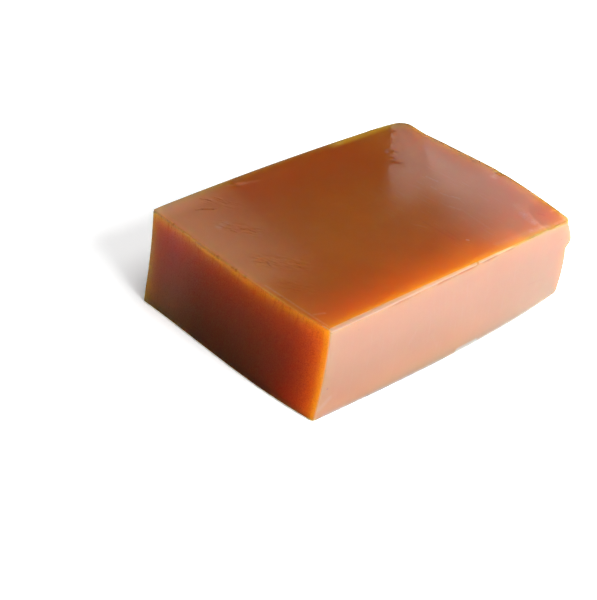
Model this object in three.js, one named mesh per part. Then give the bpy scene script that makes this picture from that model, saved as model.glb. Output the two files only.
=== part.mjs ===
// A block of marron glace paste: a firm, translucent sweet cast in a lined tray and
// cut straight across at one end with a knife.
// Millimetres, +Z up. X runs along the bar, with the cut face at -X and the moulded end at +X.
// The origin is the middle of the underside of the bounding box.
import * as THREE from "three";
import { mergeVertices } from "three/addons/utils/BufferGeometryUtils.js";

// Driving sizes of the block, measured along its top.
const LENGTH = 122;
const WIDTH = 84;
const HEIGHT = 35;

// Radii of the upright corners, seen from above.
const CUT_CORNER = 0.8;
const BACK_FAR_CORNER = 4.5;
const FRONT_FAR_CORNER = 2.6;

// Radii of the edges: a knife leaves a sharp edge, the tray a soft one.
const CUT_EDGE = 0.5;
const TOP_EDGE = 0.7;
const BASE_EDGE = 0.6;
const FAR_BASE_EDGE = 1;
const FAR_BASE_START = 0.8;

// The cut face leans, spreads at its foot, bows outwards and isn't quite square to the bar.
// The foot is wider towards the back, and the bow is all in the front half.
const CUT_LEAN = 0.9;
const CUT_FOOT = 1.5;
const CUT_FOOT_TO_BACK = 0.4;
const CUT_BOW = 1.4;
const CUT_BOW_TO_FRONT = 1;
const CUT_SKEW = 0.4;

// The moulded end bulges outwards in the middle and at its foot, and the paste is lower there.
// It has a slight kink and is fuller at its back. Places along it are shares of half the width.
const END_BULGE = 3.2;
const END_FOOT = 4;
const END_BELLY = 0.9;
const END_DROP = 2.3;
const END_KINK = 0.9;
const END_KINK_PLACE = -0.12;
const END_KINK_REACH = 0.45;
const END_CORNER = 2;
const END_CORNER_START = 0.69;

// The long sides: the front one bows outwards most at its foot and towards the moulded end.
// The back one tapers in and bends inwards at its far corner.
const FRONT_FOOT_BOW = 2.7;
const FRONT_TOP_BOW = 0.3;
const FRONT_BOW_TO_FAR = 0.25;
const FRONT_BELLY = 0.8;
const BACK_BOW = 1.4;
const BACK_TAPER = 1.7;
const BACK_CORNER_BEND = 0.9;
const BACK_CORNER_BEND_START = 50;

// A ledge where the paste filled a fold of the lining at the top of the moulded end.
// Its foot and its most prominent line are shares of the height, and it leans back above that.
const LEDGE_DEPTH = 2.8;
const LEDGE_FOOT = 0.62;
const LEDGE_RIDGE = 0.72;
const LEDGE_LEAN = 0.75;

// The front corner of the moulded end folds down a little, as far in as the crease on the top.
const CORNER_DIP = 0.75;
const CORNER_DIP_REACH = 14.5;
const CORNER_DIP_STRETCH = 0.8;

// How many rows of faces the block has each way.
const ROWS_LONG = 36;
const ROWS_WIDE = 28;
const ROWS_HIGH = 14;

const { smoothstep } = THREE.MathUtils;

// Crowds evenly spaced rows towards both edges, where the block is rounded.
function crowd(share) {
  return Math.sin(Math.PI * share) / 2;
}

// The radius of the upright corner in the quarter of the plan where a point lies.
function cornerRadius(x, y) {
  if (x < 0) return CUT_CORNER;
  return y > 0 ? BACK_FAR_CORNER : FRONT_FAR_CORNER;
}

// Moves a point of the rectangular plan onto the plan with round corners.
// Also gives its depth inside the outline and the direction out to the nearest side.
function roundPlan(x, y) {
  const radius = cornerRadius(x, y);
  const along = Math.abs(x) - (LENGTH / 2 - radius);
  const across = Math.abs(y) - (WIDTH / 2 - radius);
  if (along > 0 && across > 0) {
    const reach = Math.max(along, across);
    const turn = across < along ? across / along : 2 - along / across;
    const out = new THREE.Vector2(
      Math.sign(x) * Math.cos((turn * Math.PI) / 4),
      Math.sign(y) * Math.sin((turn * Math.PI) / 4),
    );
    const centre = new THREE.Vector2(
      Math.sign(x) * (LENGTH / 2 - radius),
      Math.sign(y) * (WIDTH / 2 - radius),
    );
    return { place: centre.addScaledVector(out, reach), depth: radius - reach, out };
  }
  const endNearer = along - across > 0;
  return {
    place: new THREE.Vector2(x, y),
    depth: radius - (endNearer ? along : across),
    out: endNearer ? new THREE.Vector2(Math.sign(x), 0) : new THREE.Vector2(0, Math.sign(y)),
  };
}

// Edge radius for a side that faces a given way: sharp where it faces the cut.
function edgeRadius(moulded, out) {
  const cutShare = Math.min(out.x, 0) ** 2;
  return THREE.MathUtils.lerp(moulded, CUT_EDGE, cutShare);
}

// Rolls the top or bottom edge: a point within one radius of the edge goes onto the arc.
function rollEdge(plan, below, radius) {
  const inward = radius - plan.depth;
  const upward = radius - below;
  if (inward <= 0 || upward <= 0) return below;
  const scale = radius / Math.hypot(inward, upward);
  plan.place.addScaledVector(plan.out, inward * scale - inward);
  return radius - upward * scale;
}

// The block with straight sides and round edges.
function softBlock(point) {
  const plan = roundPlan(point.x, point.y);
  const far = point.x / LENGTH + 0.5;
  const farShare = smoothstep(far, FAR_BASE_START, 1);
  const baseRadius = THREE.MathUtils.lerp(BASE_EDGE, FAR_BASE_EDGE, farShare);
  const topGap = rollEdge(plan, HEIGHT - point.z, edgeRadius(TOP_EDGE, plan.out));
  const baseGap = rollEdge(plan, point.z, edgeRadius(baseRadius, plan.out));
  const z = point.z > HEIGHT / 2 ? HEIGHT - topGap : baseGap;
  return point.set(plan.place.x, plan.place.y, z);
}

// The settled block: bowed, leaning and spread at the foot, as soft paste stands.
function settle(point) {
  const along = (2 * point.x) / LENGTH;
  const across = (2 * point.y) / WIDTH;
  const up = point.z / HEIGHT;
  const low = 1 - up;
  const far = (1 + along) / 2;
  const near = 1 - far;
  const back = (1 + across) / 2;
  const front = 1 - back;
  const midLength = 1 - along * along;
  const midWidth = 1 - across * across;

  const belly = 4 * up * low;
  const foot = CUT_FOOT * low ** 2 * (1 + CUT_FOOT_TO_BACK * across);
  const bow = CUT_BOW * midWidth * (1 - CUT_BOW_TO_FRONT * across);
  const cut = CUT_LEAN * low + foot + bow + CUT_SKEW * across;
  const leanBack = 1 - LEDGE_LEAN * smoothstep(up, LEDGE_RIDGE, 1);
  const ledge = LEDGE_DEPTH * smoothstep(up, LEDGE_FOOT, LEDGE_RIDGE) * leanBack * front;
  const fromKink = Math.abs(across - END_KINK_PLACE) / END_KINK_REACH;
  const kink = END_KINK * Math.max(0, 1 - fromKink);
  const corner = END_CORNER * smoothstep(across, END_CORNER_START, 1);
  const end = END_BULGE * midWidth + END_FOOT * low + END_BELLY * belly + kink + corner;
  const frontBow = midLength * (1 + FRONT_BOW_TO_FAR * along);
  const frontSide = frontBow * (FRONT_FOOT_BOW * low + FRONT_TOP_BOW * up) + FRONT_BELLY * belly;
  const bendShare = (point.x - BACK_CORNER_BEND_START) / (LENGTH / 2 - BACK_CORNER_BEND_START);
  const bend = BACK_CORNER_BEND * Math.max(0, bendShare);
  const backSide = BACK_BOW * midLength - BACK_TAPER * low - bend;
  const acrossCorner = CORNER_DIP_STRETCH * (WIDTH / 2 + point.y);
  const fromCorner = Math.hypot(LENGTH / 2 - point.x, acrossCorner);
  const dip = CORNER_DIP * Math.max(0, 1 - fromCorner / CORNER_DIP_REACH);

  point.x += far ** 4 * ledge + far * end - near * cut;
  point.y += back * backSide - front * frontSide;
  point.z = up * (HEIGHT - END_DROP * far - dip);
  return point;
}

function pasteBlockGeometry() {
  const box = new THREE.BoxGeometry(1, 1, 1, ROWS_LONG, ROWS_WIDE, ROWS_HIGH);
  box.deleteAttribute("normal");
  box.deleteAttribute("uv");
  const geometry = mergeVertices(box);
  const positions = geometry.getAttribute("position");
  const point = new THREE.Vector3();
  for (let i = 0; i < positions.count; i += 1) {
    point.fromBufferAttribute(positions, i);
    point.set(
      LENGTH * crowd(point.x),
      WIDTH * crowd(point.y),
      HEIGHT * (crowd(point.z) + 0.5),
    );
    settle(softBlock(point));
    positions.setXYZ(i, point.x, point.y, point.z);
  }
  geometry.computeBoundingBox();
  const middle = geometry.boundingBox.getCenter(new THREE.Vector3());
  geometry.translate(-middle.x, -middle.y, -geometry.boundingBox.min.z);
  geometry.computeVertexNormals();
  return geometry;
}

const paste = new THREE.MeshStandardMaterial({
  color: 0xa8602e,
  roughness: 0.3,
  metalness: 0,
});

const block = new THREE.Mesh(pasteBlockGeometry(), paste);
block.name = "paste_block";

const marronGlace = new THREE.Group();
marronGlace.add(block);

export default marronGlace;
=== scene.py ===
import math

import bpy
from mathutils import Matrix, Vector


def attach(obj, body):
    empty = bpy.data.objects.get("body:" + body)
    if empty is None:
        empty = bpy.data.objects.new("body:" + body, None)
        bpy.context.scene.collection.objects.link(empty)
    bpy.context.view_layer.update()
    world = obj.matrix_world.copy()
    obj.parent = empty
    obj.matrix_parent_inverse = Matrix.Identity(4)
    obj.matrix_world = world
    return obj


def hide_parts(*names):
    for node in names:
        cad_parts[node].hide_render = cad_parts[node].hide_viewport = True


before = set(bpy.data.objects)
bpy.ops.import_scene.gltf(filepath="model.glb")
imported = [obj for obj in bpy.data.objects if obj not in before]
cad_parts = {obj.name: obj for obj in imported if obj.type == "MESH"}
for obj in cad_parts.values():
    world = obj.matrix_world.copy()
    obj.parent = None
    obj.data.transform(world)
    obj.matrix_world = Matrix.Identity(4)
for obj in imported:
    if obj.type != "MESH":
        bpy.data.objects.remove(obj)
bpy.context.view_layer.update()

# The block: a firm, translucent paste of sugar and starch. It is cast in a tray with a lining, which leaves
# it glossy with soft edges, and it is cut straight across at one end with a knife.
# It grows from a box whose rows crowd towards the edges, which is rounded, settled and then marked.
MM = 0.001
BLOCK_ROWS = {"Rows Long": 136, "Rows Wide": 190, "Rows High": 60}
BLOCK_SIZES = {
    "Length": 122 * MM,
    "Width": 84 * MM,
    "Height": 35 * MM,
    "Crowding": 0.85,
    "Cut Corner": 0.8 * MM,
    "Back Far Corner": 4.5 * MM,
    "Front Far Corner": 2.6 * MM,
    "Edge Fullness": 1.12,
    "Cut Edge": 0.5 * MM,
    "Top Edge": 0.5 * MM,
    "Lip Edge": 1.0 * MM,
    "Lip Taper Start": -45 * MM,
    "Lip Taper End": 34 * MM,
    "Base Edge": 0.5 * MM,
    "Far Base Edge": 1 * MM,
    "Far Base Start": 0.8,
    "Cut Lean": 0.9 * MM,
    "Cut Foot": 1.5 * MM,
    "Cut Foot To Back": 0.4,
    "Cut Bow": 1.4 * MM,
    "Cut Bow To Front": 1.0,
    "Cut Skew": 0.4 * MM,
    "End Bulge": 3.2 * MM,
    "End Foot": 4 * MM,
    "End Belly": 0.9 * MM,
    "End Drop": 2.3 * MM,
    "End Kink": 0.9 * MM,
    "End Kink Place": -0.12,
    "End Kink Reach": 0.45,
    "End Corner": 2 * MM,
    "End Corner Start": 0.69,
    "Front Foot Bow": 2.7 * MM,
    "Front Top Bow": 0.3 * MM,
    "Front Bow To Far": 0.25,
    "Front Belly": 0.8 * MM,
    "Back Bow": 1.4 * MM,
    "Back Taper": 1.7 * MM,
    "Back Corner Bend": 0.9 * MM,
    "Back Corner Bend Start": 50 * MM,
    "Ledge Depth": 2.8 * MM,
    "Ledge Foot": 0.62,
    "Ledge Ridge": 0.72,
    "Ledge Lean": 0.75,
    "Corner Dip": 0.75 * MM,
    "Corner Dip Reach": 14.5 * MM,
    "Corner Dip Stretch": 0.8,
    "Swell Height": 0.12 * MM,
    "Top Swell Height": 0.012 * MM,
    "Swell Length": 28 * MM,
    "Groove Depth": 0.14 * MM,
    "Groove Drop": 0.38 * MM,
    "Groove Width": 0.55 * MM,
    "Edge Tear Height": 0.05 * MM,
    "Edge Tear Length": 1.6 * MM,
}
TINY = 1e-7

# Marks on the block, in millimetres of the frame: places, how far each reaches, and how far it rises.
TOP_RIDGES = {
    "fold at the back edge": ((-29.5, 41.2), (-19, 38.3), 1.2, 0.1),
    "crease to the front": ((47.6, -30.7), (45.4, -39.3), 1.2, 0.03),
}
TOP_DENTS = {
    "fold at the back edge": ((-27.8, 39.8), 2.6, -0.2),
    "nick in the back edge": ((25.5, 42), 1.8, -0.3),
    "chipped corner by the cut": ((-63, 42.8), 3, -0.2),
    "dent in the far edge": ((62.5, -5.5), 2.6, -0.3),
    "nick in the front edge": ((7.7, -41.6), 0.9, -0.25),
}
GROOVE_START = -34
GROOVE_END = 24
GROOVE_BREAKS = 5
CUT_EDGE_X = -63
EDGE_PITS = (32, 9, 1.7, 0, -4.3)
EDGE_PIT_REACH = 0.6
EDGE_PIT_DEPTH = 0.08
# Painted shade: how dark the cut edge away from the front and the groove are painted; the pits are painted
# fully dark.
EDGE_SHADE = 0.12
GROOVE_SHADE = 0.9


class Field:
    """A value that a node tree works out at every point, so that a rule can be written as arithmetic."""

    def __init__(self, tree, socket):
        self.tree = tree
        self.socket = socket

    def math(self, operation, *others):
        node = add_node(self.tree, "ShaderNodeMath", operation=operation)
        for slot, value in zip(node.inputs, (self, *others)):
            join(self.tree, slot, value)
        return Field(self.tree, node.outputs[0])

    def __add__(self, other):
        return self.math("ADD", other)

    def __sub__(self, other):
        return self.math("SUBTRACT", other)

    def __mul__(self, other):
        return self.math("MULTIPLY", other)

    def __truediv__(self, other):
        return self.math("DIVIDE", other)

    def __pow__(self, other):
        return self.math("POWER", other)

    def __gt__(self, other):
        return self.math("GREATER_THAN", other)

    def __lt__(self, other):
        return self.math("LESS_THAN", other)

    def __neg__(self):
        return self * -1

    def __radd__(self, other):
        return self + other

    def __rsub__(self, other):
        return -self + other

    def __rtruediv__(self, other):
        return self ** -1 * other

    def __abs__(self):
        return self.math("ABSOLUTE")

    def at_least(self, other):
        return self.math("MAXIMUM", other)

    def at_most(self, other):
        return self.math("MINIMUM", other)

    def mix(self, other, share):
        return self + (other - self) * share

    def smooth(self, start, end):
        node = add_node(self.tree, "ShaderNodeMapRange", interpolation_type="SMOOTHSTEP")
        for slot, value in zip(node.inputs, (self, start, end)):
            join(self.tree, slot, value)
        return Field(self.tree, node.outputs[0])


def join(tree, slot, value):
    """Gives an input slot a fixed value, or links it to a field or another node's socket."""
    if isinstance(value, Field):
        value = value.socket
    if isinstance(value, bpy.types.NodeSocket):
        tree.links.new(value, slot)
    else:
        slot.default_value = value


def add_node(tree, kind, feeds=None, **settings):
    """Adds a node, sets it up, and feeds its inputs, which are named by their labels or numbers."""
    node = tree.nodes.new(kind)
    for name, value in settings.items():
        setattr(node, name, value)
    for slot, value in (feeds or {}).items():
        join(tree, node.inputs[slot], value)
    return node


def split(tree, vector):
    """The three parts of a vector, as fields."""
    node = add_node(tree, "ShaderNodeSeparateXYZ", {0: vector})
    return [Field(tree, socket) for socket in node.outputs]


def combine(tree, x, y, z):
    """A vector from three fields or numbers."""
    return add_node(tree, "ShaderNodeCombineXYZ", {0: x, 1: y, 2: z}).outputs[0]


def crowd(share, crowding):
    """Draws evenly spaced rows towards both edges, where the block is rounded."""
    return share.mix((share * math.pi).math("SINE") / 2, crowding)


def round_plan(x, y, size):
    """A point of the plan with round corners, its depth inside the outline, and the way out of it."""
    far_corner = size["Front Far Corner"].mix(size["Back Far Corner"], y > 0)
    radius = size["Cut Corner"].mix(far_corner, x > 0)
    along = abs(x) - (size["Length"] / 2 - radius)
    across = abs(y) - (size["Width"] / 2 - radius)
    past_along = along.at_least(0)
    past_across = across.at_least(0)
    reach = past_along.at_least(past_across)
    turn = past_along.at_most(past_across) / reach.at_least(TINY) * (math.pi / 4)
    turn = turn.mix(math.pi / 2 - turn, across > along)
    out = (turn.math("COSINE"), turn.math("SINE"))
    place = (abs(x) - past_along + out[0] * reach, abs(y) - past_across + out[1] * reach)
    return place, radius - along.at_least(across), out


def roll_edge(depth, gap, radius, fullness):
    """How far a point near an edge moves inwards and away from the face to lie on the edge's round.
    A fullness of 2 makes the round a circle's, and less makes it flatter, like a bevel."""
    inward = (radius - depth).at_least(0)
    upward = (radius - gap).at_least(0)
    length = (inward ** fullness + upward ** fullness) ** (1 / fullness)
    shrink = 1 - radius / length.at_least(TINY)
    return inward * shrink, upward * shrink


def soften(x, y, z, size):
    """The block with straight sides and round edges: sharp ones at the cut, soft ones from the tray.
    Also how far a point lies past the top edge, inwards from it, and how far inside the edge's round."""
    place, depth, out = round_plan(x, y, size)
    cut_share = out[0] * out[0] * (x < 0)
    far_share = (x / size["Length"] + 0.5).smooth(size["Far Base Start"], 1)
    lip_share = out[1] * out[1] * (y < 0) * (1 - x.smooth(size["Lip Taper Start"], size["Lip Taper End"]))
    top_radius = size["Top Edge"].mix(size["Lip Edge"], lip_share).mix(size["Cut Edge"], cut_share)
    base_radius = size["Base Edge"].mix(size["Far Base Edge"], far_share).mix(size["Cut Edge"], cut_share)
    fullness = size["Edge Fullness"]
    top_in, top_down = roll_edge(depth, size["Height"] - z, top_radius, fullness)
    base_in, base_up = roll_edge(depth, z, base_radius, fullness)
    inward = top_in + base_in
    soft_x = (place[0] - out[0] * inward) * x.math("SIGN")
    soft_y = (place[1] - out[1] * inward) * y.math("SIGN")
    gap = size["Height"] - z
    return (soft_x, soft_y, z - top_down + base_up), depth - gap, top_radius - depth.at_least(gap)


def settle(x, y, z, size):
    """The block as soft paste stands: bowed, leaning, spread at the foot, and lower at the moulded end."""
    along = x * 2 / size["Length"]
    across = y * 2 / size["Width"]
    up = z / size["Height"]
    low = 1 - up
    far = (along + 1) / 2
    near = 1 - far
    back = (across + 1) / 2
    front = 1 - back
    mid_length = 1 - along * along
    mid_width = 1 - across * across

    belly = up * low * 4
    foot = size["Cut Foot"] * low * low * (1 + size["Cut Foot To Back"] * across)
    bow = size["Cut Bow"] * mid_width * (1 - size["Cut Bow To Front"] * across)
    cut = size["Cut Lean"] * low + foot + bow + size["Cut Skew"] * across
    lean_back = 1 - size["Ledge Lean"] * up.smooth(size["Ledge Ridge"], 1)
    ledge = size["Ledge Depth"] * up.smooth(size["Ledge Foot"], size["Ledge Ridge"]) * lean_back * front
    kink = 1 - abs(across - size["End Kink Place"]) / size["End Kink Reach"]
    end = size["End Bulge"] * mid_width + size["End Foot"] * low + size["End Belly"] * belly
    end_corner = size["End Corner"] * across.smooth(size["End Corner Start"], 1)
    end = end + size["End Kink"] * kink.at_least(0) + end_corner
    front_bow = mid_length * (1 + along * size["Front Bow To Far"])
    front_side = front_bow * (size["Front Foot Bow"] * low + size["Front Top Bow"] * up)
    front_side = front_side + size["Front Belly"] * belly
    bend_length = size["Length"] / 2 - size["Back Corner Bend Start"]
    bend = size["Back Corner Bend"] * ((x - size["Back Corner Bend Start"]) / bend_length).at_least(0)
    back_side = size["Back Bow"] * mid_length - size["Back Taper"] * low - bend
    from_end = size["Length"] / 2 - x
    from_front = (size["Width"] / 2 + y) * size["Corner Dip Stretch"]
    from_corner = (from_end * from_end + from_front * from_front).math("SQRT")
    dip = size["Corner Dip"] * (1 - from_corner / size["Corner Dip Reach"]).at_least(0)

    settled_x = x + far ** 4 * ledge + far * end - near * cut
    settled_y = y + back * back_side - front * front_side
    return settled_x, settled_y, up * (size["Height"] - size["End Drop"] * far - dip)


def noise(tree, place, length, detail=2):
    """Soft random values around 0, from about -1 to 1, that change over the given length."""
    node = add_node(tree, "ShaderNodeTexNoise", {"Vector": place, "Scale": 1 / length, "Detail": detail})
    return Field(tree, node.outputs[0]) * 4 - 2


def round_mark(distance, reach):
    """1 at a place and 0 from the mark's reach on."""
    return 1 - distance.smooth(0, reach)


def between(value, start, end, border):
    """1 between two bounds and 0 outside them, with soft borders."""
    return value.smooth(start - border, start) * (1 - value.smooth(end, end + border))


def distance_to_line(x, y, start, end):
    """How far a point of the plan is from a straight line with two ends."""
    run = Vector(end) - Vector(start)
    share = ((x - start[0]) * run.x + (y - start[1]) * run.y) / run.length_squared
    share = share.at_least(0).at_most(1)
    aside_x = x - start[0] - share * run.x
    aside_y = y - start[1] - share * run.y
    return (aside_x * aside_x + aside_y * aside_y).math("SQRT")


def block_marks(tree, place, size):
    """The height of the marks that the lining, the knife and handling left, and where they are painted
    darker:
    painted shade in the groove below the lip, in the pits and along the cut edge away from the front.
    """
    x, y, z = split(tree, place)
    normal = split(tree, tree.nodes.new("GeometryNodeInputNormal").outputs[0])
    on_top = normal[2].smooth(0.2, 0.7) * z.smooth(25 * MM, 28 * MM)
    on_front = (-normal[1]).smooth(0.5, 0.9)
    off_base = z.smooth(0.5 * MM, 4 * MM)
    past_edge = kept(tree, "past_edge")
    on_round = kept(tree, "on_round")

    swell = size["Swell Height"].mix(size["Top Swell Height"], past_edge.smooth(-9 * MM, -1 * MM))
    height = noise(tree, place, size["Swell Length"]) * swell * off_base

    for start, end, reach, rise in TOP_RIDGES.values():
        line = distance_to_line(x, y, Vector(start) * MM, Vector(end) * MM)
        height = height + round_mark(line, reach * MM) * on_top * (rise * MM)
    for centre, reach, rise in TOP_DENTS.values():
        centre = Vector(centre) * MM
        mark = round_mark(distance_to_line(x, y, centre, centre + Vector((TINY, 0))), reach * MM)
        height = height + mark * on_top * (rise * MM)

    broken = noise(tree, place, GROOVE_BREAKS * MM).smooth(-0.6, 0.1)
    along_groove = between(x, GROOVE_START * MM, GROOVE_END * MM, 4 * MM)
    groove = round_mark(abs(on_round + size["Groove Drop"]), size["Groove Width"])
    groove = groove * on_front * along_groove * broken
    height = height - groove * size["Groove Depth"]

    by_cut = (1 - (x - CUT_EDGE_X * MM).smooth(0.5 * MM, 2.5 * MM)) * round_mark(abs(past_edge), 1.2 * MM)
    tears = noise(tree, place, size["Edge Tear Length"]) * size["Edge Tear Height"]
    height = height + tears * by_cut
    pits = 0
    for pit in EDGE_PITS:
        pits = round_mark(abs(y - pit * MM), EDGE_PIT_REACH * MM) * by_cut + pits
    height = height - pits * (EDGE_PIT_DEPTH * MM)
    # Painted shade: the groove, the pits and the cut edge away from the front are painted darker.
    edge_shade = by_cut * y.smooth(-16 * MM, -8 * MM) * EDGE_SHADE
    return height, (groove * GROOVE_SHADE + pits + edge_shade).at_most(1)


def kept(tree, name):
    """A value that was kept on the geometry under a name."""
    node = add_node(tree, "GeometryNodeInputNamedAttribute", {"Name": name}, data_type="FLOAT")
    return Field(tree, node.outputs[0])


def stored(tree, geometry, name, value, domain="POINT"):
    """The geometry with a value kept on it under a name."""
    return add_node(tree, "GeometryNodeStoreNamedAttribute", {
        "Geometry": geometry, "Name": name, "Value": value,
    }, data_type="FLOAT", domain=domain).outputs[0]


def block_tree(moulded_finish, cut_finish):
    """Geometry Nodes for the block, with its rows and sizes as named inputs."""
    tree = bpy.data.node_groups.new("Settled block", "GeometryNodeTree")
    for name in BLOCK_ROWS:
        tree.interface.new_socket(name, in_out="INPUT", socket_type="NodeSocketInt")
    for name in BLOCK_SIZES:
        tree.interface.new_socket(name, in_out="INPUT", socket_type="NodeSocketFloat")
    tree.interface.new_socket("Block", in_out="OUTPUT", socket_type="NodeSocketGeometry")
    inputs = tree.nodes.new("NodeGroupInput").outputs
    size = {name: Field(tree, inputs[name]) for name in BLOCK_SIZES}

    rows = [Field(tree, inputs[name]) + 1 for name in BLOCK_ROWS]
    box = add_node(tree, "GeometryNodeMeshCube", {
        "Size": (1, 1, 1), "Vertices X": rows[0], "Vertices Y": rows[1], "Vertices Z": rows[2],
    })
    place = tree.nodes.new("GeometryNodeInputPosition").outputs[0]
    share_x, share_y, share_z = split(tree, place)
    x = size["Length"] * crowd(share_x, size["Crowding"])
    y = size["Width"] * crowd(share_y, size["Crowding"])
    z = size["Height"] * (crowd(share_z, size["Crowding"]) + 0.5)
    geometry = stored(tree, box.outputs["Mesh"], "cut_face", share_x < TINY - 0.5, "FACE")
    soft_place, past_edge, on_round = soften(x, y, z, size)
    geometry = stored(tree, geometry, "past_edge", past_edge)
    geometry = stored(tree, geometry, "on_round", on_round)
    geometry = add_node(tree, "GeometryNodeSetPosition", {
        "Geometry": geometry, "Position": combine(tree, *settle(*soft_place, size)),
    }).outputs[0]

    extent = add_node(tree, "GeometryNodeBoundBox", {"Geometry": geometry})
    low = split(tree, extent.outputs["Min"])
    high = split(tree, extent.outputs["Max"])
    geometry = add_node(tree, "GeometryNodeSetPosition", {
        "Geometry": geometry,
        "Offset": combine(tree, (low[0] + high[0]) / -2, (low[1] + high[1]) / -2, -low[2]),
    }).outputs[0]

    height, dark = block_marks(tree, place, size)
    geometry = stored(tree, geometry, "dark_marks", dark)
    normal = tree.nodes.new("GeometryNodeInputNormal").outputs[0]
    raised = add_node(tree, "ShaderNodeVectorMath", {0: normal, "Scale": height}, operation="SCALE")
    geometry = add_node(tree, "GeometryNodeSetPosition", {
        "Geometry": geometry, "Offset": raised.outputs[0],
    }).outputs[0]

    geometry = add_node(tree, "GeometryNodeSetShadeSmooth", {"Geometry": geometry}).outputs[0]
    geometry = add_node(tree, "GeometryNodeSetMaterial", {
        "Geometry": geometry, "Material": moulded_finish,
    }).outputs[0]
    geometry = add_node(tree, "GeometryNodeSetMaterial", {
        "Geometry": geometry, "Material": cut_finish, "Selection": kept(tree, "cut_face") > 0.5,
    }).outputs[0]
    geometry = add_node(tree, "GeometryNodeRealizeInstances", {"Geometry": geometry}).outputs[0]
    add_node(tree, "NodeGroupOutput", {"Block": geometry})
    return tree


PASTE_COLOUR = (0.2, 0.051, 0.0076, 1)
PALE_PASTE = (0.223, 0.06, 0.0105, 1)
# Besides the paste's own amber, the colours that a finish paints over it, in order: a darker, redder rim
# colour, mostly painted shade; an amber and a ruddy colour, painted glow where light comes through near lit
# edges; a greyer, pinker colour, random cloudiness and also painted reflection and highlight; a dull
# colour, painted shade; a pale colour, for real scratches and flecks and for painted highlights and
# reflection; and a dark one, for real marks and specks and for painted shade.
BODY_COLOURS = {
    "Rim": (0.18, 0.022, 0.006, 1),
    "Amber": (0.345, 0.117, 0.012, 1),
    "Ruddy": (0.5, 0.075, 0.012, 1),
    "Haze": (0.19, 0.09, 0.075, 1),
    "Shade": (0.04, 0.05, 0.014, 1),
    "Film": (0.24, 0.2, 0.165, 1),
    "Dark": (0.1, 0.014, 0.006, 1),
}
DARKEST = 0.8
REFRACTION = 1.6
MOULDED_RADIUS = (13.5, 1.9, 0.3)
CUT_RADIUS = (12, 1.9, 0.3)

# Pale and dark lines, in millimetres: both ends, how far each reaches to its sides, and its strength.
# Those on the top give x and y, and those on the front give x and z.
# The pale lines along the crease, along the front edge, at the far corner's tip, in the far edge's dent and
# along the cut edge by the front are painted highlights; the scuff and the scratches are marks of the
# paste.
PALE_ON_TOP = {
    "crease, back half": ((49, -25), (46.5, -30.2), 3.4, 0.1),
    "crease, middle": ((46.5, -30.2), (45.3, -35), 3, 0.28),
    "crease, front half": ((45.3, -35), (44.9, -38.3), 2.2, 0.3),
    "crease along the front edge": ((22.1, -37.6), (39.7, -38.6), 2, 0.09),
    "crease at the far corner": ((39.7, -38.6), (47.5, -39.7), 1.8, 0.32),
    "far end of the front edge": ((52, -40.2), (57.5, -40), 1.2, 0.3),
    "arc at the far corner": ((57.5, -33.7), (60.5, -33.8), 0.9, 0.2),
    "pale tip of the far corner": ((58.5, -38.8), (61, -36.5), 2.2, 0.4),
    "dent in the far edge": ((62.5, -5), (58, -6.4), 2.2, 0.3),
    "scuff by the cut": ((-52, 22.2), (-48.6, 23), 1.9, 0.16),
    "scratches by the cut": ((-60.9, -32.2), (-57.5, -33.5), 0.8, 0.16),
    "bright speck": ((15.3, -29.9), (15.5, -30.2), 0.8, 0.5),
    "cut edge by the front": ((-62.6, -12), (-61.6, -40), 0.7, 0.15),
    "first scratch": ((35.9, 7.4), (36.7, 3), 0.9, 0.12),
    "second scratch": ((32, 1.5), (32, -1), 0.8, 0.1),
    "third scratch": ((31.5, -3.4), (32.3, -6.7), 0.8, 0.12),
    "fourth scratch": ((33.1, -7.2), (34.5, -9.8), 0.8, 0.12),
    "fifth scratch": ((27.4, -11.6), (28.7, -15.1), 0.9, 0.1),
    "long scratch": ((29.4, -14.5), (27.9, -29.4), 0.8, 0.05),
    "dull scratch": ((7.2, -13.1), (9.2, -16.5), 0.9, 0.05),
}
DARK_ON_TOP = {
    "dint at the far corner": ((51.8, -32.4), (52.9, -34), 0.8, 0.4),
    "dint by the far edge": ((58.4, -27.2), (59, -28), 0.9, 0.25),
    "dark scratch": ((11.1, -13.4), (11.6, -27.4), 0.7, 0.14),
    "short dark scratch": ((13.8, -21.6), (13.1, -28.6), 0.6, 0.12),
}
WRINKLES_ON_TOP = {
    "long wrinkle, back": ((-51, 34.7), (-48.8, 34), 0.7, 0.6),
    "long wrinkle, middle": ((-48.8, 34), (-45.8, 31.9), 0.8, 1),
    "long wrinkle, front": ((-45.8, 31.9), (-44.6, 31.8), 0.7, 0.6),
    "wrinkle by the back edge": ((-44.8, 39.6), (-43.1, 37.4), 0.7, 0.7),
    "its other half": ((-43.1, 37.4), (-42.7, 36.4), 0.7, 0.9),
    "arc, back half": ((-40, 37.4), (-39.1, 35.7), 0.8, 0.4),
    "arc, front half": ((-39.1, 35.7), (-39.6, 32.1), 0.8, 0.3),
    "dash behind the scuff": ((-49.5, 18.6), (-48.9, 17), 0.7, 0.8),
    "dash further in": ((-44.2, 15.5), (-43.4, 13.5), 0.7, 0.9),
    "first fold in the middle": ((-53.1, -0.4), (-52.7, -2.3), 0.8, 0.6),
    "second fold in the middle": ((-52.7, -2.3), (-53.2, -4.5), 0.7, 0.9),
    "third fold in the middle": ((-46.2, -8.2), (-45.4, -10.2), 0.7, 1),
    "first fold to the front": ((-57.7, -13.8), (-54.9, -14.9), 0.8, 0.6),
    "second fold to the front": ((-56.3, -18.7), (-55.1, -20.2), 0.7, 1),
    "fold at the cut": ((-63.4, -18.4), (-62.6, -19.9), 0.7, 1),
}
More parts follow.
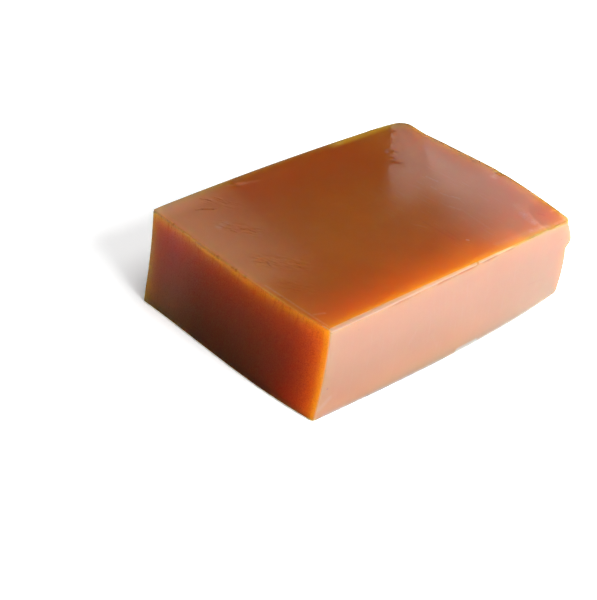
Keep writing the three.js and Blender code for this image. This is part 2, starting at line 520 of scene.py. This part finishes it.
BUMPY_ON_TOP = {
    "by the back edge": ((-43, 37), (-38, 31), 5, 0.6),
    "by the scuff": ((-50, 22), (-44, 14), 6, 0.7),
    "in the middle": ((-54, -1), (-45, -9), 7, 1),
    "to the front": ((-58, -14), (-53, -20), 6, 1),
}
# The thin pale lines along the whole foot are a painted reflection of the white floor.
PALE_ON_FRONT = {
    "smear at the near corner": ((-63.2, 4.1), (-59, 7.4), 1.8, 0.12),
    "wet film at the foot": ((2.5, 0.6), (12, 0.4), 1.8, 0.8),
    "thin wet film at the foot": ((12, 0.2), (52, 0.2), 1.2, 0.6),
    "thin film at the near foot": ((-60, 0.2), (2, 0.2), 1.2, 0.35),
    "short streak": ((-21.8, 18.7), (-24.4, 15), 1.2, 0.03),
    "long streak": ((-13.3, 13.9), (-9.5, 7.5), 1.2, 0.025),
}
DARK_ON_FRONT = {
    "speck": ((-60.9, 12), (-60.7, 12), 0.5, 1),
    "rub by the cut": ((-46.6, 20.5), (-41.1, 20.9), 3, 0.06),
    "rub at the near foot": ((-54, 7), (-49.6, 7.8), 4, 0.06),
    "line at the far end": ((38, 13.8), (47.6, 12.2), 0.8, 0.07),
}

# How strongly the zones and marks of each finish, by their names in its look below, show the colours
# painted over the paste, much of it painted light and shade, and how they change its gloss and its relief,
# which is in millimetres.
# On the moulded faces, the amber and ruddy colours are painted glow, on the front side, the foot, the far
# end, the edges, the cut strip and the back by the cut; the rim colour and the shade are painted shade, on
# the rims, the corners, the fold, the far edge, the front side and towards the end; the lip's pale colour
# is a painted highlight; and the darkening of the far edge, the wrinkles and the nick is painted shade, the
# last two in their hollows. The clouds, scratches and flecks are the paste's own, and the pale lines partly
# painted highlights.
MOULDED_SHARES = {
    "Rim": {
        "back rim": 1, "towards end": 0.15, "lip": 0.65, "far edge": 0.6, "cut edge": 0.3,
        "near corner": 0.12,
    },
    "Amber": {
        "front glow": 1, "back glow": 1, "bare edge": 0.5, "end glow": 0.4, "cut strip": 0.25,
        "back by cut": 0.325, "front side": 0.19, "foot glow": 0.2,
    },
    "Ruddy": {"back by cut": 0.4, "cut edge": 0.25, "foot glow": 0.12, "end glow": 0.1},
    "Haze": {"clouds": 0.08, "back by cut": 0.15, "lip": 0.5},
    "Shade": {
        "front side": 0.22, "front glow": 0.22, "towards end": 0.33, "folded corner": 0.3,
        "near corner": 0.22, "bare edge": 0.2, "far side": 0.05, "fold": 0.25, "below lip": 0.08,
        "back of far edge": 0.25,
    },
    "Film": {
        "pale lines": 1, "scratches": 0.05, "pale streaks": 0.03, "flecks": 0.3, "back by cut": 0.1,
        "cut strip": 0.06,
    },
    "Dark": {"dark lines": 1, "wrinkles": 0.25, "nick": 0.4, "far edge": 0.6},
}
MOULDED_DULLNESS = {
    "nick": 1, "stains": 1, "bare edge": 1, "end glow": 0.4, "folded corner": 0.5, "towards end": 0.2,
    "near corner": 1.1, "dull at front": 0.8, "dull at end": 0.65, "end and back": 0.5,
}
MOULDED_SHINE = 0.85
DULLED_SHINE = 0.1
LIP_SHINE = 0.3
MOULDED_ROUGHNESS = 0.1
LIP_ROUGHNESS = 0.5
ROUGHNESS_SHARES = {"dull by cut": 0.05, "glossy at back": -0.055, "back corner": -0.025, "uneven": 0.012}
MOULDED_RELIEF = {
    "bumps": 0.08, "wrinkles": -0.1, "streaks": 0.002, "ripples": 0.014,
    "grain by cut": 0.003, "grain": 0.0002,
}
# On the cut, the amber and ruddy colours are painted glow along its rims and at its lower back corner; the
# rim colour at its top edge and base, the shade and the darkening of its middle are painted shade; the
# greyer, pinker colour is a painted reflection; the drag lines, torn edge, freckles, flecks, mottle and
# grain are its own.
CUT_SHARES = {
    "Rim": {"top edge": 0.9, "base": 0.8},
    "Amber": {"right rim": 0.85, "left foot": 0.7, "left rim": 0.3},
    "Ruddy": {"right rim": 0.42, "left rim": 0.3, "narrow top edge": 0.2},
    "Haze": {"haze": 1},
    "Shade": {"middle": 0.65},
    "Film": {"flecks": 0.4, "left rim": 0.05},
    "Dark": {
        "drag lines": 0.12, "torn edge": 0.4, "freckles": 0.6, "middle": 0.5, "mottle": 0.36, "grain": 0.1,
    },
}
CUT_SHINE = 0.02
CUT_ROUGHNESS = 0.55
CUT_UNEVENNESS = 0.05
CUT_RELIEF = {"drag": 0.006, "grain": 0.008}
NICK_X = 7.6
FOLDED_CORNER = (60, -42.5)
RIPPLES_START = (57, 40)
RIPPLES_END = (36, 26)


def blend(tree, share, first, second):
    """A colour between two others."""
    node = tree.nodes.new("ShaderNodeMix")
    node.data_type = "RGBA"
    for slot, value in ((0, share), (6, first), (7, second)):
        join(tree, node.inputs[slot], value)
    return node.outputs[2]


def specks(tree, place, spacing, reach, share):
    """Small round specks: how far apart, how large, and in what share of the cells there is one."""
    node = add_node(tree, "ShaderNodeTexVoronoi", {"Vector": place, "Scale": 1 / spacing})
    chance = add_node(tree, "ShaderNodeSeparateColor", {0: node.outputs["Color"]})
    chosen = Field(tree, chance.outputs[0]) < share
    return round_mark(Field(tree, node.outputs["Distance"]) * spacing, reach) * chosen


def drawn_lines(across, along, lines):
    """Soft straight lines on a face, from the two coordinates that run over it, in millimetres."""
    drawn = 0
    for start, end, reach, strength in lines.values():
        drawn = round_mark(distance_to_line(across, along, start, end), reach) * strength + drawn
    return drawn


def stretched(tree, place, turn, scale):
    """The place turned about the upright and stretched, for marks that run one way."""
    node = add_node(tree, "ShaderNodeMapping", {"Vector": place}, vector_type="TEXTURE")
    node.inputs["Rotation"].default_value = (0, 0, math.radians(turn))
    node.inputs["Scale"].default_value = scale
    return node.outputs[0]


def shader_mark(tree, name):
    """A value that the geometry keeps for its materials."""
    return Field(tree, add_node(tree, "ShaderNodeAttribute", attribute_name=name).outputs["Fac"])


def in_millimetres(tree, place):
    """The three parts of a place, in millimetres."""
    return [part / MM for part in split(tree, place)]


def weighed(zones, shares):
    """The sum of some zones, each times its share."""
    return sum(zones[name] * share for name, share in shares.items())


def shown_colours(zones, shares):
    """How much of each of the paste's other colours the zones of a finish show."""
    return {name: weighed(zones, share).at_least(0).at_most(1) for name, share in shares.items()}


def paste_body_group():
    """The paste's colour, which both finishes show: its own cloudy amber with dark specks, and over it the
    painted shade, painted glow, painted highlights and reflection, and real marks that a finish asks for."""
    group = bpy.data.node_groups.new("Paste body", "ShaderNodeTree")
    group.interface.new_socket("Place", in_out="INPUT", socket_type="NodeSocketVector")
    for name in BODY_COLOURS:
        group.interface.new_socket(name, in_out="INPUT", socket_type="NodeSocketFloat")
    group.interface.new_socket("Colour", in_out="OUTPUT", socket_type="NodeSocketColor")
    group.interface.new_socket("Grain", in_out="OUTPUT", socket_type="NodeSocketFloat")
    inputs = group.nodes.new("NodeGroupInput").outputs
    place = inputs["Place"]
    cloud = noise(group, place, 14 * MM, 4).smooth(-1, 1)
    grain = noise(group, place, 0.9 * MM, 3)
    dark = shader_mark(group, "dark_marks") + inputs["Dark"] + specks(group, place, 5 * MM, 0.35 * MM, 0.12)
    strengths = {name: inputs[name] for name in BODY_COLOURS} | {"Dark": dark.at_most(DARKEST)}
    colour = blend(group, cloud.mix(grain * 0.5 + 0.5, 0.35), PASTE_COLOUR, PALE_PASTE)
    for name, tint in BODY_COLOURS.items():
        colour = blend(group, strengths[name], colour, tint)
    add_node(group, "NodeGroupOutput", {"Colour": colour, "Grain": grain})
    return group


paste_body = paste_body_group()


def paste_finish(name, look, radius):
    """A paste material: light goes in, scatters over the radius and comes out amber.
    Its look is a function of the tree, the place and the paste's grain that gives what varies over it."""
    finish = bpy.data.materials.new(name)
    finish.use_nodes = True
    tree = finish.node_tree
    shader = tree.nodes["Principled BSDF"]
    shader.subsurface_method = "RANDOM_WALK_SKIN"
    shader.inputs["IOR"].default_value = REFRACTION
    shader.inputs["Subsurface Weight"].default_value = 1
    shader.inputs["Subsurface Radius"].default_value = radius
    shader.inputs["Subsurface Scale"].default_value = MM

    place = tree.nodes.new("ShaderNodeTexCoord").outputs["Object"]
    body = add_node(tree, "ShaderNodeGroup", {}, node_tree=paste_body)
    fields = look(tree, place, Field(tree, body.outputs["Grain"]))
    join(tree, body.inputs["Place"], place)
    for slot in BODY_COLOURS:
        join(tree, body.inputs[slot], fields[slot])
    bump = add_node(tree, "ShaderNodeBump", {"Height": fields["Relief"], "Distance": 1.0, "Strength": 1.0})
    join(tree, shader.inputs["Base Color"], body.outputs["Colour"])
    join(tree, shader.inputs["Roughness"], fields["Roughness"])
    join(tree, shader.inputs["Specular IOR Level"], fields["Shine"])
    join(tree, shader.inputs["Normal"], bump.outputs[0])
    return finish


def top_zones(x, y, past_edge, on_top, front_round):
    """Parts of the top where the paste looks different: 1 inside and 0 outside, in millimetres."""
    by_cut = (1 - x.smooth(-60, -25)) * on_top
    near_corner = (1 - x.smooth(-45, -15)) * (1 - y.smooth(-22, -4)) * on_top
    from_end = FOLDED_CORNER[0] - x
    from_front = (y - FOLDED_CORNER[1]) * BLOCK_SIZES["Corner Dip Stretch"]
    from_corner = (from_end * from_end + from_front * from_front).math("SQRT")
    folded_corner = (1 - from_corner.smooth(13.8, 15)) * (1 - y.smooth(-31, -24))
    folded_corner = folded_corner * on_top * (1 - front_round)
    narrow_glow = round_mark(past_edge, 3) * x.smooth(-50, -20)
    wide_glow = round_mark(past_edge, 18) * x.smooth(-55, 25)
    front_glow = (narrow_glow * 0.38 + wide_glow * 0.6) * on_top
    far_edge = round_mark(past_edge, 3.5) * x.smooth(54, 58) * y.smooth(-40, -34) * on_top
    back_rim = y.smooth(0, 42) * 0.5 + y.smooth(38, 42) * 0.3
    # Painted light and shade on the top: the front and back glows, the cut strip, the cut edge and the back
    # by the cut are painted glow; the back rim, the near and folded corners, the fold, the far edge and the
    # part towards the end are painted shade. The other zones set only the gloss and the relief.
    return {
        "by cut": by_cut,
        "back by cut": y.smooth(34, 42) * by_cut,
        "cut strip": (1 - x.smooth(-63, -34)) * on_top * (1 - near_corner),
        "cut edge": round_mark(past_edge, 3) * (1 - x.smooth(-61, -58)) * on_top,
        "near corner": near_corner,
        "folded corner": folded_corner,
        "fold": between(x, 37, 46, 6) * (1 - y.smooth(-36, -26)) * on_top,
        "front glow": front_glow * (1 - y.smooth(-34, -18)) * (1 - folded_corner),
        "dull at front": (1 - x.smooth(8, 24)) * (1 - y.smooth(-38, -18)) * on_top,
        "far edge": far_edge,
        "back of far edge": far_edge * y.smooth(-20, -5),
        "towards end": x.smooth(42, 62) * on_top,
        "dull at end": x.smooth(46, 62) * y.smooth(-6, 8) * on_top,
        "back rim": back_rim * between(x, -25, 24, 18) * on_top,
        "back glow": y.smooth(39.5, 42.5) * between(x, 26, 50, 7) * on_top,
        "back corner": x.smooth(20, 35) * y.smooth(5, 25) * on_top,
        "dull by cut": 1 - x.smooth(-60, -20),
        "glossy at back": x.smooth(-20, 35) * y.smooth(-20, 20),
    }


def side_zones(x, y, z, on_top, on_front, front_round):
    """Parts of the sides and of the front edge, in the same way."""
    nick = round_mark(abs(x - NICK_X), 0.8) * front_round
    on_end = x.smooth(60, 63) * y.smooth(-38, -34) * (1 - on_top)
    on_back = y.smooth(39, 41) * (1 - on_top)
    # Painted light and shade on the sides: the front side is painted with glow and shade, the foot, the far
    # end of the front and the bare edge with glow, the upper front below the lip and the far side with
    # shade, and the nick with shade in its hollow; the lip's pale colour is a painted highlight. The end
    # and back set only the gloss.
    return {
        "front side": on_front * (1 - front_round) * (1 + x.smooth(20, 60) * 0.5),
        "far side": on_front * x.smooth(10, 40),
        "below lip": on_front * (1 - front_round) * z.smooth(20, 32) * (1 - x.smooth(0, 40)),
        "foot glow": on_front * (1 - z.smooth(0, 16)) * (1 - x.smooth(0, 30)),
        "end glow": x.smooth(54, 61) * on_front * (1 - z.smooth(18, 24)),
        "end and back": on_end.at_least(on_back),
        "nick": nick,
        "lip": front_round * (1 - x.smooth(12, 30)) * (1 - nick),
        "bare edge": front_round * between(x, 29, 58, 6),
    }


def moulded_marks(tree, place, on_top, on_front):
    """Wrinkles, bumps, ripples and scratches that the lining and handling left, pale and dark lines, some
    of the pale ones painted highlights, and the painted shade that the geometry keeps.
    """
    x, y, z = in_millimetres(tree, place)
    bumps = noise(tree, stretched(tree, place, -50, (2, 1, 1)), 1.5 * MM)
    ripples = noise(tree, stretched(tree, place, -25, (3, 1, 1)), 2 * MM, 1)
    rippled = round_mark(distance_to_line(x, y, RIPPLES_START, RIPPLES_END), 7)
    streaks = noise(tree, stretched(tree, place, 0, (1, 1, 12)), 1.2 * MM)
    scratches = noise(tree, stretched(tree, place, 0, (1, 9, 1)), 0.8 * MM).smooth(0.4, 0.9)
    scratched = between(x, 8, 45, 8) * between(y, -30, 12, 8) * on_top
    uneven = noise(tree, place, 1.5 * MM) * 0.4 + 0.8
    patchy = noise(tree, place, 0.9 * MM) * 0.5 + 0.85
    pale_on_top = drawn_lines(x, y, PALE_ON_TOP) * patchy * on_top
    return {
        "wrinkles": drawn_lines(x, y, WRINKLES_ON_TOP) * uneven * on_top,
        "bumps": bumps * drawn_lines(x, y, BUMPY_ON_TOP) * on_top,
        "ripples": ripples * rippled * on_top,
        "streaks": streaks * (1 - on_top),
        "pale streaks": streaks.smooth(0, 1.5) * on_front,
        "scratches": scratches * scratched,
        "flecks": specks(tree, place, 6 * MM, 0.4 * MM, 0.12) * on_front,
        "pale lines": pale_on_top + drawn_lines(x, z, PALE_ON_FRONT) * on_front,
        "dark lines": drawn_lines(x, y, DARK_ON_TOP) * on_top + drawn_lines(x, z, DARK_ON_FRONT) * on_front,
        "clouds": noise(tree, place, 9 * MM, 3).smooth(0.2, 1.5),
        "uneven": noise(tree, place, 12 * MM, 3),
        "stains": shader_mark(tree, "dark_marks"),
    }


def moulded_look(tree, place, grain):
    """The faces that the lining shaped: glossiest at the back of the moulded end, where it lay flat, with
    ripples in the back corner; duller by the cut, with short wrinkles; and dull on the front edge's lip."""
    x, y, z = in_millimetres(tree, place)
    past_edge = shader_mark(tree, "past_edge") / MM
    on_round = shader_mark(tree, "on_round") / MM
    on_top = z.smooth(30, 31.5) * past_edge.smooth(-1, 0)
    on_front = (1 - y.smooth(-40, -38)) * (1 - on_top)
    front_round = on_round.smooth(-0.08, 0.04) * (1 - y.smooth(-39, -37))
    zones = top_zones(x, y, past_edge, on_top, front_round)
    zones |= side_zones(x, y, z, on_top, on_front, front_round)
    zones |= moulded_marks(tree, place, on_top, on_front)
    zones |= {"grain": grain, "grain by cut": grain * zones["by cut"]}

    look = shown_colours(zones, MOULDED_SHARES)
    dullness = weighed(zones, MOULDED_DULLNESS).at_most(1)
    look["Shine"] = zones["lip"] * LIP_SHINE + MOULDED_SHINE - dullness * (MOULDED_SHINE - DULLED_SHINE)
    roughness = weighed(zones, ROUGHNESS_SHARES) + MOULDED_ROUGHNESS
    look["Roughness"] = roughness.mix(LIP_ROUGHNESS, front_round)
    look["Relief"] = weighed(zones, MOULDED_RELIEF) * MM
    return look


def cut_look(tree, place, grain):
    """The knife's cut: matt, with fine drag lines down it, a painted reflection at its back and top, a
    painted glow along its rims and painted shade over its middle.
    """
    y, z = in_millimetres(tree, place)[1:]
    below_edge = -shader_mark(tree, "past_edge") / MM
    drag = noise(tree, stretched(tree, place, 0, (1, 1, 10)), 0.9 * MM)
    torn = noise(tree, stretched(tree, place, 0, (1, 1, 9)), 0.8 * MM).smooth(0, 0.8)
    cloudy = noise(tree, place, 6 * MM, 3) * 0.15 + 0.95
    # Painted shade: the middle of the cut is painted darker, most of all low down.
    middle = between(y, -25, 10, 20) * below_edge.smooth(0, 7)
    zones = {
        # The greyer, pinker colour at the back and top of the cut is a painted reflection.
        "haze": y.smooth(-15, 40) * z.smooth(-20, 32) * cloudy,
        "drag": drag,
        "drag lines": drag.smooth(0, 1.4),
        "torn edge": torn * round_mark(below_edge, 8),
        "freckles": specks(tree, place, 2 * MM, 0.25 * MM, 0.4) * y.smooth(-20, 30) * z.smooth(8, 28),
        "flecks": specks(tree, place, 6 * MM, 0.3 * MM, 0.12),
        "mottle": noise(tree, place, 0.4 * MM),
        "grain": grain,
        "middle": middle * (1 - z.smooth(0, 40) * 0.5),
        "right rim": (1 - y.smooth(-43, -24)) * (1 - z.smooth(10, 34) * 0.4),
        "left rim": y.smooth(33, 43),
        "left foot": y.smooth(20, 40) * (1 - z.smooth(2, 16)),
        "base": round_mark(z, 4) * (1 - y.smooth(10, 34)),
        "top edge": round_mark(abs(below_edge), 3.5),
        "narrow top edge": round_mark(abs(below_edge), 3),
    }
    look = shown_colours(zones, CUT_SHARES)
    look["Shine"] = CUT_SHINE
    look["Roughness"] = noise(tree, place, 8 * MM, 3) * CUT_UNEVENNESS + CUT_ROUGHNESS
    look["Relief"] = weighed(zones, CUT_RELIEF) * MM
    return look


def mesh_from_tree(name, tree, sizes):
    """Runs a Geometry Nodes tree with the given sizes and keeps the result as a plain mesh piece."""
    piece = bpy.data.objects.new(name, bpy.data.meshes.new(name + "_seed"))
    bpy.context.scene.collection.objects.link(piece)
    modifier = piece.modifiers.new("Shape", "NODES")
    modifier.node_group = tree
    for socket in tree.interface.items_tree:
        if socket.in_out == "INPUT":
            modifier[socket.identifier] = sizes[socket.name]
    depsgraph = bpy.context.evaluated_depsgraph_get()
    mesh = bpy.data.meshes.new_from_object(piece.evaluated_get(depsgraph), depsgraph=depsgraph)
    piece.modifiers.remove(modifier)
    piece.data = mesh
    mesh.name = name
    return piece


moulded_paste = paste_finish("moulded_paste", moulded_look, MOULDED_RADIUS)
cut_paste = paste_finish("cut_paste", cut_look, CUT_RADIUS)
block = mesh_from_tree("paste_block_visual", block_tree(moulded_paste, cut_paste), BLOCK_ROWS | BLOCK_SIZES)
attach(block, "root")
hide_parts("paste_block")

# The floor: a seamless sheet of white board under the block. It is white to the camera, gives less light by
# the cut and the moulded end, is greyer behind the block in what the paste mirrors, and glows amber under
# the block, where light comes through the paste.
FLOOR_REACH = 3
FLOOR_GAP = 0.2 * MM
BOARD_COLOUR = (0.85, 0.85, 0.85, 1)
BOARD_SEEN = (1.42, 1.42, 1.42, 1)
BOARD_MIRRORED = (1.6, 1.6, 1.6, 1)
BOARD_BY_CUT = (0.2, 0.12, 0.07, 1)
BOARD_BY_END = (0.3, 0.2, 0.15, 1)
BOARD_BY_FRONT = (1.06, 1.06, 1.06, 1)
BOARD_BEHIND = (0.45, 0.4, 0.36, 1)
GLOW_UNDER = (0.6, 0.13, 0.025, 1)
FAR_BOARD = (0.8, 0.8, 0.85, 1)
UNLIT = (0, 0, 0, 1)
EVEN_GLOW = 0.04
FRONT_GLOW = 0.7
CUT_GLOW = 0.25
floor_mesh = bpy.data.meshes.new("floor")
floor_signs = ((-1, -1), (1, -1), (1, 1), (-1, 1))
floor_corners = [(sx * FLOOR_REACH, sy * FLOOR_REACH, -FLOOR_GAP) for sx, sy in floor_signs]
floor_mesh.from_pydata(floor_corners, [], [(0, 1, 2, 3)])
floor = bpy.data.objects.new("floor", floor_mesh)
bpy.context.scene.collection.objects.link(floor)
board = bpy.data.materials.new("white_board")
board.use_nodes = True
board_tree = board.node_tree
board_shader = board_tree.nodes["Principled BSDF"]
board_shader.inputs["Roughness"].default_value = 1
board_shader.inputs["Specular IOR Level"].default_value = 0
board_place = board_tree.nodes.new("ShaderNodeTexCoord").outputs["Object"]
board_x, board_y = in_millimetres(board_tree, board_place)[:2]
board_path = board_tree.nodes.new("ShaderNodeLightPath")
camera_ray = Field(board_tree, board_path.outputs["Is Camera Ray"])
glossy_ray = Field(board_tree, board_path.outputs["Is Glossy Ray"])
by_cut_foot = between(board_x, -108, -72, 8) * between(board_y, -46, 10, 14)
by_end_foot = between(board_x, 64, 150, 10) * between(board_y, -50, 60, 20)
by_front_foot = between(board_y, -44, -40, 32) * (1 - board_x.smooth(0, 50) * 0.4)
behind = (board_x.smooth(66, 90) * board_y.smooth(-40, -20)).at_least(board_y.smooth(44, 70))
giving = blend(board_tree, by_cut_foot, BOARD_COLOUR, BOARD_BY_CUT)
giving = blend(board_tree, by_end_foot, giving, BOARD_BY_END)
mirrored = blend(board_tree, by_front_foot, BOARD_MIRRORED, BOARD_BY_FRONT)
mirrored = blend(board_tree, behind, mirrored, BOARD_BEHIND)
giving = blend(board_tree, glossy_ray, giving, mirrored)
board_colour = blend(board_tree, camera_ray, giving, BOARD_SEEN)
join(board_tree, board_shader.inputs["Base Color"], board_colour)
under_block = between(board_x, -63, 58, 1) * between(board_y, -40, 38, 2)
glow_by_front = 1 - board_y.smooth(-42, -14)
glow_by_cut = (1 - board_x.smooth(-63, -56)) * (1 - board_y.smooth(-40, -22))
glowing = under_block * (EVEN_GLOW + glow_by_front * FRONT_GLOW + glow_by_cut * CUT_GLOW)
far_off = (board_x * board_x + board_y * board_y).math("SQRT").smooth(250, 600) * (glossy_ray + camera_ray)
glow = blend(board_tree, far_off, blend(board_tree, glowing, UNLIT, GLOW_UNDER), FAR_BOARD)
join(board_tree, board_shader.inputs["Emission Color"], glow)
board_shader.inputs["Emission Strength"].default_value = 1
board.cycles.emission_sampling = "NONE"
floor_mesh.materials.append(board)

# The light: a key softbox on the camera's right and a weak one overhead, which light the paste but don't
# show in it. Its glossy faces mirror a small softbox, for the front edge's lip, and dim panels at the back,
# for the top. A dark room keeps the middle of the top deep amber.
LAMP_DISTANCE = 0.95
OVERHEAD_DISTANCE = 1.0
PANEL_DISTANCE = 3.0
HEART_DISTANCE = 2.9
ROOM_LIGHT = 0.01
ROOM_SEEN = 1


def direction(azimuth, elevation):
    """A unit vector from its angle round the floor, from +X towards +Y, and its angle above the floor."""
    a = math.radians(azimuth)
    e = math.radians(elevation)
    return Vector((math.cos(a) * math.cos(e), math.sin(a) * math.cos(e), math.sin(e)))


def soft_box(name, azimuth, elevation, distance, width, height, radiance, roll=0, shape="RECTANGLE"):
    """An area light that faces the block, with its brightness given as radiance."""
    light = bpy.data.lights.new(name, "AREA")
    light.shape = shape
    light.size = width
    light.size_y = height
    area = width * height * (math.pi / 4 if shape == "ELLIPSE" else 1)
    light.energy = radiance * math.pi * area
    lamp = bpy.data.objects.new(name, light)
    way = direction(azimuth, elevation)
    turn = way.to_track_quat("Z", "Y").to_matrix() @ Matrix.Rotation(math.radians(roll), 3, "Z")
    lamp.matrix_world = Matrix.Translation(way * distance) @ turn.to_4x4()
    bpy.context.scene.collection.objects.link(lamp)
    return lamp


key = soft_box(
    "key", azimuth=-78, elevation=26, distance=LAMP_DISTANCE, width=1.0, height=0.75, radiance=9.1,
)
key.visible_glossy = False
lip_sheen = soft_box(
    "lip_sheen", azimuth=-45, elevation=38, distance=LAMP_DISTANCE, width=0.5, height=0.35, radiance=18,
)
lip_sheen.visible_diffuse = False
overhead = soft_box(
    "overhead", azimuth=-100, elevation=80, distance=OVERHEAD_DISTANCE, width=0.8, height=0.8, radiance=3.5,
)
overhead.visible_glossy = False
soft_box(
    "back_panel", azimuth=26, elevation=25.2, distance=PANEL_DISTANCE,
    width=1.155, height=0.455, radiance=0.63, roll=5, shape="ELLIPSE",
)
soft_box(
    "back_panel_heart", azimuth=27.6, elevation=26, distance=HEART_DISTANCE,
    width=0.8, height=0.42, radiance=0.42, shape="ELLIPSE",
)
soft_box(
    "corner_panel", azimuth=36.8, elevation=28.25, distance=PANEL_DISTANCE,
    width=0.11, height=0.06, radiance=0.52, roll=-47, shape="ELLIPSE",
)
soft_box(
    "left_panel", azimuth=53, elevation=36.1, distance=PANEL_DISTANCE,
    width=0.74, height=0.84, radiance=0.5, roll=-37,
)

world = bpy.data.worlds.new("dark_room")
world.use_nodes = True
nodes = world.node_tree.nodes
background = nodes["Background"]
background.inputs["Color"].default_value = (1, 1, 1, 1)
light_path = nodes.new("ShaderNodeLightPath")
dim = nodes.new("ShaderNodeMix")
dim.inputs["A"].default_value = ROOM_LIGHT
dim.inputs["B"].default_value = ROOM_SEEN
world.node_tree.links.new(light_path.outputs["Is Camera Ray"], dim.inputs["Factor"])
world.node_tree.links.new(dim.outputs["Result"], background.inputs["Strength"])
bpy.context.scene.world = world

# The camera: a long lens, held a little askew, above the corner between the cut and the long side.
CAMERA_AZIMUTH = math.radians(-48.58)
CAMERA_ELEVATION = math.radians(34.51)
CAMERA_ROLL = math.radians(8)
CAMERA_DISTANCE = 519.4 * MM
CAMERA_TARGET = Vector((-36.5, -3.52, 13.94)) * MM
CAMERA_LENS = 92.61
back = Vector((
    math.sin(CAMERA_AZIMUTH) * math.cos(CAMERA_ELEVATION),
    -math.cos(CAMERA_AZIMUTH) * math.cos(CAMERA_ELEVATION),
    math.sin(CAMERA_ELEVATION),
))
level = Vector((math.cos(CAMERA_AZIMUTH), math.sin(CAMERA_AZIMUTH), 0))
axes = Matrix((level, back.cross(level), back)).transposed()
turn = axes @ Matrix.Rotation(CAMERA_ROLL, 3, "Z")
camera_data = bpy.data.cameras.new("camera")
camera_data.lens = CAMERA_LENS
camera = bpy.data.objects.new("camera", camera_data)
camera.matrix_world = Matrix.Translation(CAMERA_TARGET + back * CAMERA_DISTANCE) @ turn.to_4x4()
bpy.context.scene.collection.objects.link(camera)
bpy.context.scene.camera = camera
bpy.context.scene.view_settings.view_transform = "Standard"
